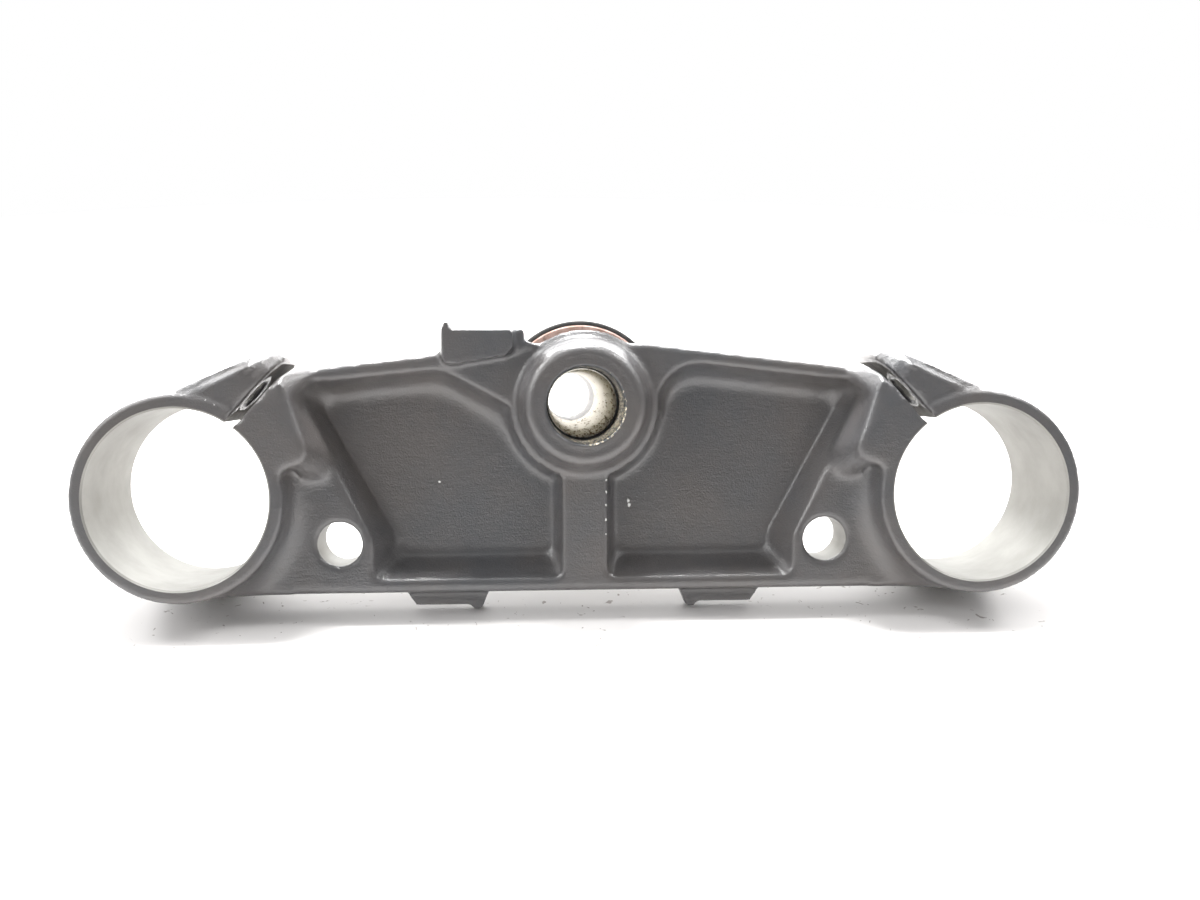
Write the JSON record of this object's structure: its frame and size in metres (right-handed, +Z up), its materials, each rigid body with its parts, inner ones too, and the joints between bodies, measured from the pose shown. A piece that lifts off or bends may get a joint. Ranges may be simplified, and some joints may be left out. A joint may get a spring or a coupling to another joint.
{
  "type": "motorcycle triple clamp",
  "caption": "Lower triple clamp with split fork rings, pinch lugs, pocketed web, steering stops and a pressed-in hollow steering stem.",
  "frame": {"origin": "floor level under the middle of the part as it rests on its two stop noses and the end of its stem", "axes": "+X across the fork bores to the viewer's right, +Y away from the underside along the floor, +Z up"},
  "size_m": [0.2818, 0.2006, 0.0841],
  "materials": {
    "coated_casting": "satin",
    "stem_steel": "satin",
    "washer_steel": "matte",
    "seal_rubber": "matte",
    "race_steel": "polished"
  },
  "bodies": {
    "root": {"yoke": "coated_casting", "steering_stem": "stem_steel", "seal_washer": "washer_steel", "seal_lip": "seal_rubber", "bearing_race": "race_steel"}
  },
  "joints": []
}
